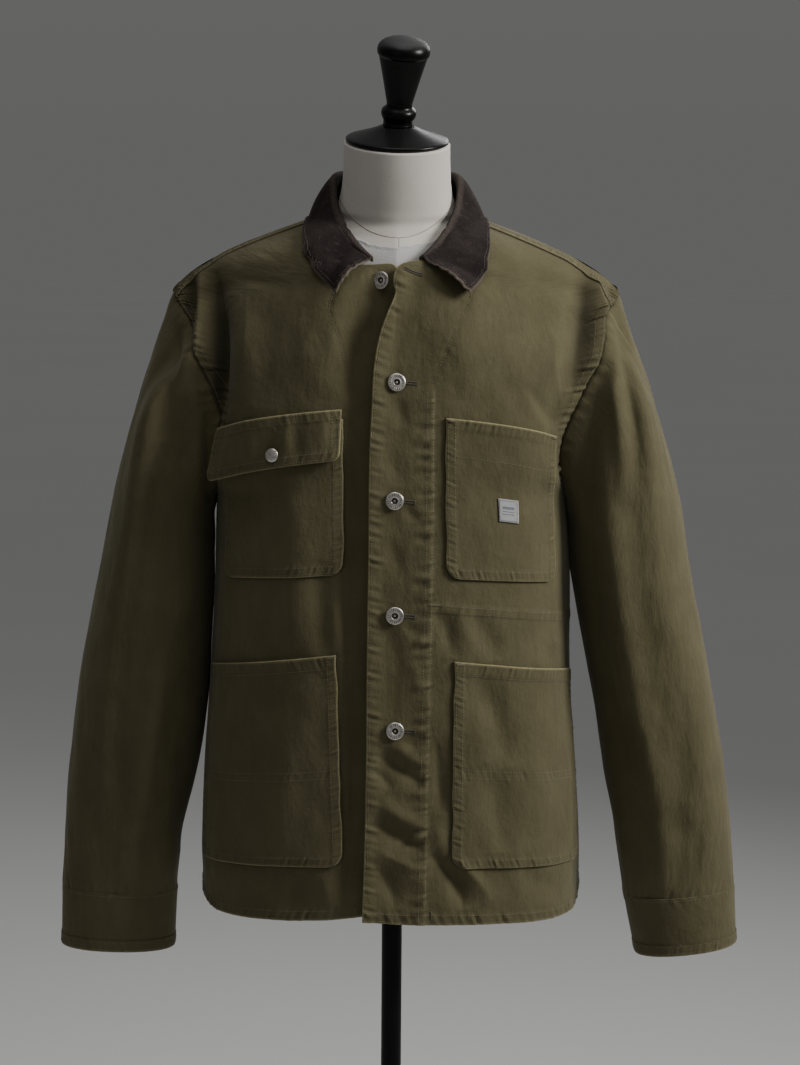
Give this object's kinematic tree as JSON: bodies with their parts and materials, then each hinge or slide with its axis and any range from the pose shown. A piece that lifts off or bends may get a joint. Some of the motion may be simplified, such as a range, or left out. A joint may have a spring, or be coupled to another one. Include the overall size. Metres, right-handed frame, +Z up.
{
  "type": "chore jacket on a limbless dress form with a stand",
  "caption": "Olive duck chore jacket with a dark brown corded collar, patch pockets and metal buttons, on a cream limbless dress form with a black stand",
  "frame": {"origin": "middle of the base's underside, on the floor", "axes": "+Z up, the jacket's front faces -Y, the wearer's left is +X"},
  "size_m": [0.6786, 0.33, 1.5837],
  "materials": {
    "duck": "olive drab cotton duck, garment washed, matte with a light nap",
    "collar_pile": "dark brown short-pile corded cotton, worn lighter along the edges",
    "label_cloth": "off-white woven cotton, bare",
    "button_metal": "pressed nickel-silver, satin, dulled by washing",
    "form_cloth": "cream cotton jersey, matte",
    "lacquer": "black gloss lacquer on turned wood",
    "black_metal": "black satin enamel on steel"
  },
  "bodies": {
    "root": {"front_left": "duck", "front_right": "duck", "back": "duck", "sleeve_left": "duck", "sleeve_right": "duck", "cuff_left": "duck", "cuff_right": "duck", "collar": "collar_pile", "chest_pocket_left": "duck", "chest_pocket_right": "duck", "pocket_flap": "duck", "lower_pocket_left": "duck", "lower_pocket_right": "duck", "label": "label_cloth", "button_1": "button_metal", "button_2": "button_metal", "button_3": "button_metal", "button_4": "button_metal", "button_5": "button_metal", "flap_stud": "button_metal", "form_torso": "form_cloth", "neck_cap": "lacquer", "finial": "lacquer", "pole": "black_metal", "base": "black_metal"}
  },
  "joints": []
}
